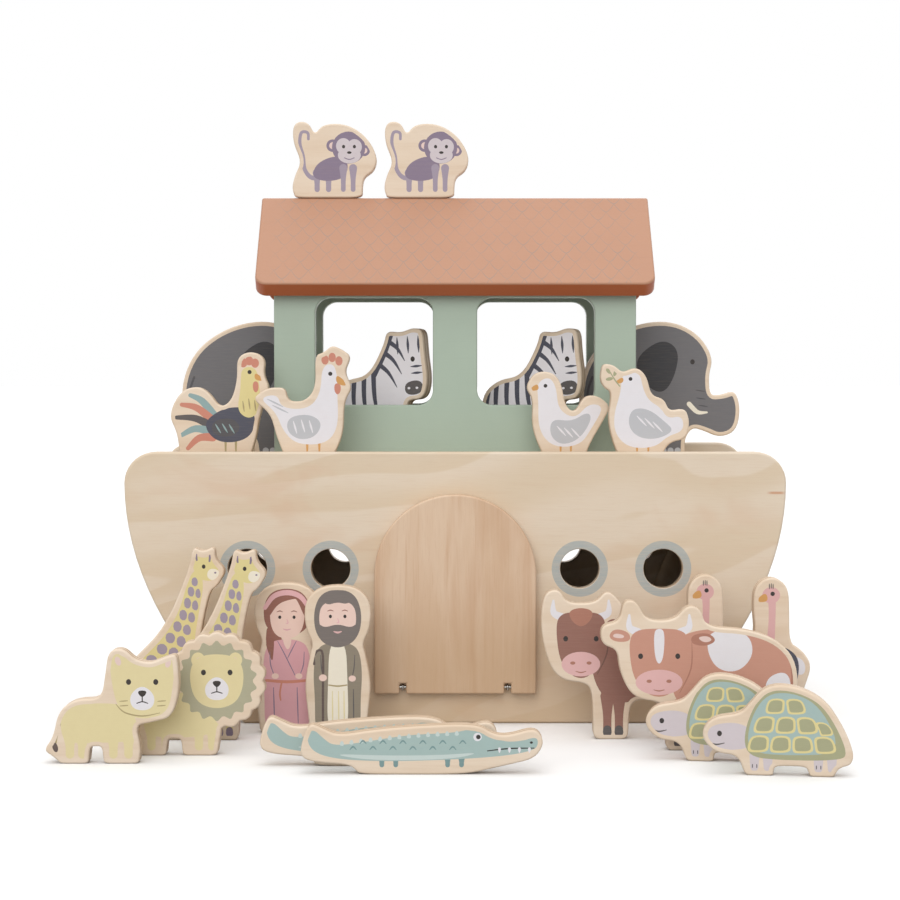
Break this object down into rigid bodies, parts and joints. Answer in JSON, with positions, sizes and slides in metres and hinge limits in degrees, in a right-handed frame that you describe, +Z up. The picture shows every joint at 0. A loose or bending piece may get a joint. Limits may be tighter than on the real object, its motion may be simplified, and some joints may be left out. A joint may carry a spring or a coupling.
{
  "type": "toy ark",
  "caption": "Flat-panel wooden toy ark with portholes, a drop-down arched door, a lift-out deck house, a lift-off gabled roof and loose flat plywood animal and people figures.",
  "frame": {"origin": "on the floor under the middle of the hull", "axes": "+X to the viewer's right along the hull, +Y to the back, +Z up; the door faces -Y"},
  "size_m": [0.4104, 0.3524, 0.3552],
  "materials": {
    "plywood": "clear satin over birch plywood",
    "figure_plywood": "bare sanded plywood with printed faces",
    "door_wood": "clear satin, upright grain",
    "dowel": "raw",
    "green_paint": "satin paint on board",
    "terracotta_paint": "satin paint on board",
    "steel": "zinc-plated"
  },
  "bodies": {
    "hull": {"hull_front_panel": "plywood", "hull_back_panel": "plywood", "hull_floor": "plywood", "end_board_left": "plywood", "end_board_right": "plywood", "ledge_front": "plywood", "ledge_back": "plywood", "hinge_eyes": "steel", "catch_keeper": "steel", "floor_dowels": "dowel", "end_dowels": "dowel"},
    "front_door": {"door_board": "door_wood", "door_pins": "steel", "door_magnet": "steel"},
    "house": {"deck_board": "plywood", "house_front_wall": "green_paint", "house_back_wall": "green_paint", "gable_left": "green_paint", "gable_right": "green_paint", "house_dowels": "dowel"},
    "roof": {"roof_front_board": "terracotta_paint", "roof_back_board": "terracotta_paint", "roof_rib_left": "plywood", "roof_rib_right": "plywood"},
    "monkey_left": {"monkey_left": "figure_plywood"},
    "monkey_right": {"monkey_right": "figure_plywood"},
    "elephant_left": {"elephant_left": "figure_plywood"},
    "elephant_right": {"elephant_right": "figure_plywood"},
    "rooster": {"rooster": "figure_plywood"},
    "hen": {"hen": "figure_plywood"},
    "dove_left": {"dove_left": "figure_plywood"},
    "dove_right": {"dove_right": "figure_plywood"},
    "zebra_left": {"zebra_left": "figure_plywood"},
    "zebra_right": {"zebra_right": "figure_plywood"},
    "giraffe_left": {"giraffe_left": "figure_plywood"},
    "giraffe_right": {"giraffe_right": "figure_plywood"},
    "lioness": {"lioness": "figure_plywood"},
    "lion": {"lion": "figure_plywood"},
    "woman": {"woman": "figure_plywood"},
    "man": {"man": "figure_plywood"},
    "crocodile_back": {"crocodile_back": "figure_plywood"},
    "crocodile_front": {"crocodile_front": "figure_plywood"},
    "bull": {"bull": "figure_plywood"},
    "cow": {"cow": "figure_plywood"},
    "turtle_back": {"turtle_back": "figure_plywood"},
    "turtle_front": {"turtle_front": "figure_plywood"},
    "ostrich_left": {"ostrich_left": "figure_plywood"},
    "ostrich_right": {"ostrich_right": "figure_plywood"}
  },
  "joints": [
    {"name": "door_drop", "type": "hinge", "parent": "hull", "child": "front_door", "pos_m": [0, -0.0964, 0.0218], "axis": [1, 0, 0], "range_deg": [0, 99]},
    {"name": "house_lift", "type": "slide", "parent": "hull", "child": "house", "axis": [0, 0, 1], "range_m": [0, 0.15]},
    {"name": "roof_lift", "type": "slide", "parent": "house", "child": "roof", "axis": [0, 0, 1], "range_m": [0, 0.12]},
    {"name": "monkey_left_lift", "type": "slide", "parent": "roof", "child": "monkey_left", "axis": [0, 0, 1], "range_m": [0, 0.1]},
    {"name": "monkey_right_lift", "type": "slide", "parent": "roof", "child": "monkey_right", "axis": [0, 0, 1], "range_m": [0, 0.1]},
    {"name": "elephant_left_lift", "type": "slide", "parent": "house", "child": "elephant_left", "axis": [0, 0, 1], "range_m": [0, 0.02]},
    {"name": "elephant_right_lift", "type": "slide", "parent": "house", "child": "elephant_right", "axis": [0, 0, 1], "range_m": [0, 0.02]},
    {"name": "rooster_lift", "type": "slide", "parent": "house", "child": "rooster", "axis": [0, 0, 1], "range_m": [0, 0.12]},
    {"name": "hen_lift", "type": "slide", "parent": "house", "child": "hen", "axis": [0, 0, 1], "range_m": [0, 0.12]},
    {"name": "dove_left_lift", "type": "slide", "parent": "house", "child": "dove_left", "axis": [0, 0, 1], "range_m": [0, 0.12]},
    {"name": "dove_right_lift", "type": "slide", "parent": "house", "child": "dove_right", "axis": [0, 0, 1], "range_m": [0, 0.12]},
    {"name": "zebra_left_lift", "type": "slide", "parent": "house", "child": "zebra_left", "axis": [0, 0, 1], "range_m": [0, 0.036]},
    {"name": "zebra_right_lift", "type": "slide", "parent": "house", "child": "zebra_right", "axis": [0, 0, 1], "range_m": [0, 0.036]},
    {"name": "giraffe_left_lift", "type": "slide", "parent": "hull", "child": "giraffe_left", "axis": [0, 0, 1], "range_m": [0, 0.1]},
    {"name": "giraffe_right_lift", "type": "slide", "parent": "hull", "child": "giraffe_right", "axis": [0, 0, 1], "range_m": [0, 0.1]},
    {"name": "lioness_lift", "type": "slide", "parent": "hull", "child": "lioness", "axis": [0, 0, 1], "range_m": [0, 0.1]},
    {"name": "lion_lift", "type": "slide", "parent": "hull", "child": "lion", "axis": [0, 0, 1], "range_m": [0, 0.1]},
    {"name": "woman_lift", "type": "slide", "parent": "hull", "child": "woman", "axis": [0, 0, 1], "range_m": [0, 0.1]},
    {"name": "man_lift", "type": "slide", "parent": "hull", "child": "man", "axis": [0, 0, 1], "range_m": [0, 0.1]},
    {"name": "crocodile_back_lift", "type": "slide", "parent": "hull", "child": "crocodile_back", "axis": [0, 0, 1], "range_m": [0, 0.1]},
    {"name": "crocodile_front_lift", "type": "slide", "parent": "hull", "child": "crocodile_front", "axis": [0, 0, 1], "range_m": [0, 0.1]},
    {"name": "bull_lift", "type": "slide", "parent": "hull", "child": "bull", "axis": [0, 0, 1], "range_m": [0, 0.1]},
    {"name": "cow_lift", "type": "slide", "parent": "hull", "child": "cow", "axis": [0, 0, 1], "range_m": [0, 0.1]},
    {"name": "turtle_back_lift", "type": "slide", "parent": "hull", "child": "turtle_back", "axis": [0, 0, 1], "range_m": [0, 0.1]},
    {"name": "turtle_front_lift", "type": "slide", "parent": "hull", "child": "turtle_front", "axis": [0, 0, 1], "range_m": [0, 0.1]},
    {"name": "ostrich_left_lift", "type": "slide", "parent": "hull", "child": "ostrich_left", "axis": [0, 0, 1], "range_m": [0, 0.1]},
    {"name": "ostrich_right_lift", "type": "slide", "parent": "hull", "child": "ostrich_right", "axis": [0, 0, 1], "range_m": [0, 0.1]}
  ]
}
